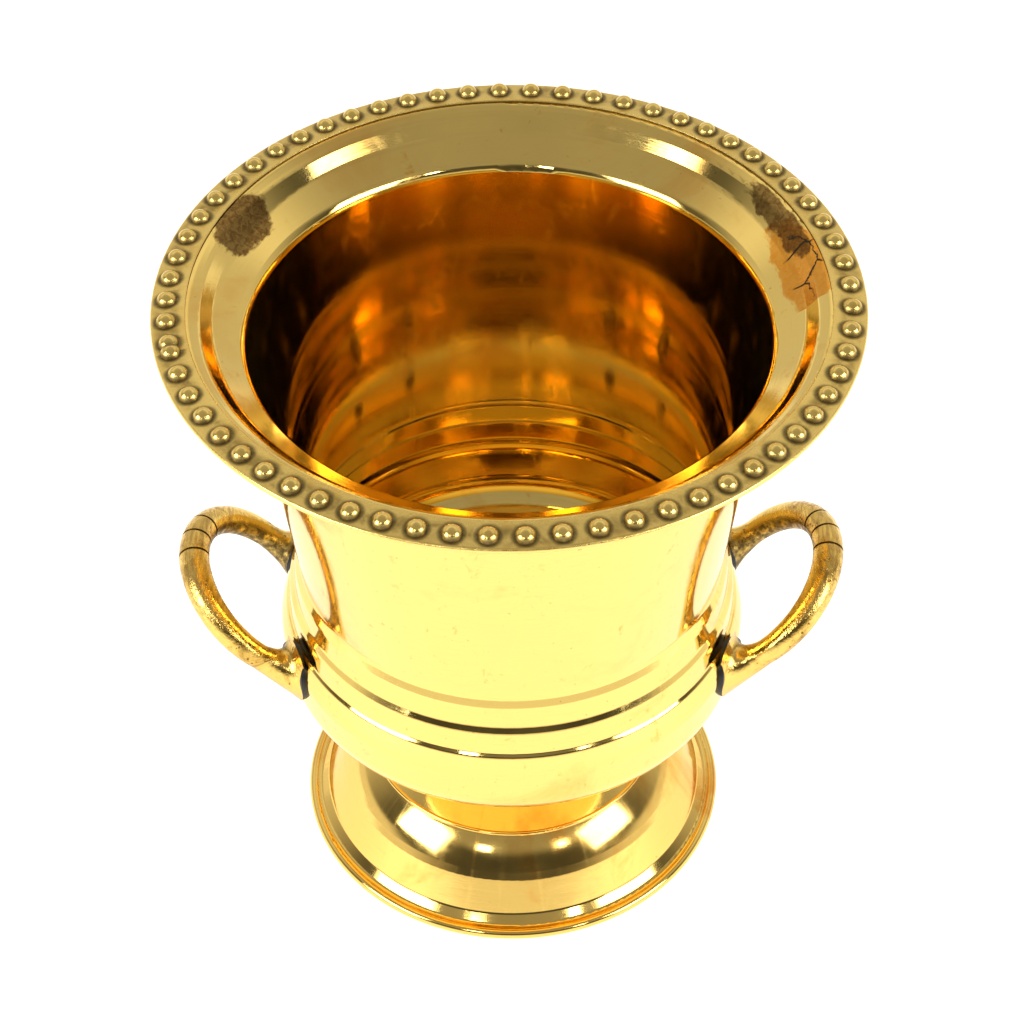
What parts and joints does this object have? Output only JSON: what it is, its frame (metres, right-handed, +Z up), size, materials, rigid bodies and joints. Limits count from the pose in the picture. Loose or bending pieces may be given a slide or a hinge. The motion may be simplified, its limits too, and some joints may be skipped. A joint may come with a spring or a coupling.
{
  "type": "brass planter pot",
  "caption": "Campana-shaped brass planter with a beaded flared rim, stepped belly, cast loop handles and a domed spun foot.",
  "frame": {"origin": "on the ground, under the centre of the foot", "axes": "+Z up along the pot's axis, +X towards the right-hand handle, the front of the pot faces -Y"},
  "size_m": [0.2314, 0.23, 0.2415],
  "materials": {
    "brass_spun": "polished spun brass with fine turning lines, orange tarnish and a few dark stains",
    "brass_rim": "polished cast brass, dark patina left round the beads",
    "brass_foot": "polished spun brass, deeper gold in the neck",
    "brass_cast": "hand-polished casting with small pits and dark grooves",
    "brass_fastener": "dull turned brass",
    "rubber_black": "smooth black rubber",
    "steel": "plain zinc-plated steel"
  },
  "bodies": {
    "root": {"bowl": "brass_spun", "beaded_rim": "brass_rim", "foot": "brass_foot", "foot_edge_wire": "steel", "handle_left": "brass_cast", "handle_right": "brass_cast", "handle_pad_front_left": "rubber_black", "handle_screw_front_left": "brass_fastener", "screw_washer_front_left": "brass_fastener", "handle_pad_back_left": "rubber_black", "handle_screw_back_left": "brass_fastener", "screw_washer_back_left": "brass_fastener", "handle_pad_front_right": "rubber_black", "handle_screw_front_right": "brass_fastener", "screw_washer_front_right": "brass_fastener", "handle_pad_back_right": "rubber_black", "handle_screw_back_right": "brass_fastener", "screw_washer_back_right": "brass_fastener", "neck_seal": "rubber_black", "bolt_seal": "rubber_black", "bolt_washer": "brass_fastener", "centre_bolt": "brass_fastener", "foot_plate_washer": "steel", "spring_washer": "steel", "foot_nut": "steel"}
  },
  "joints": []
}
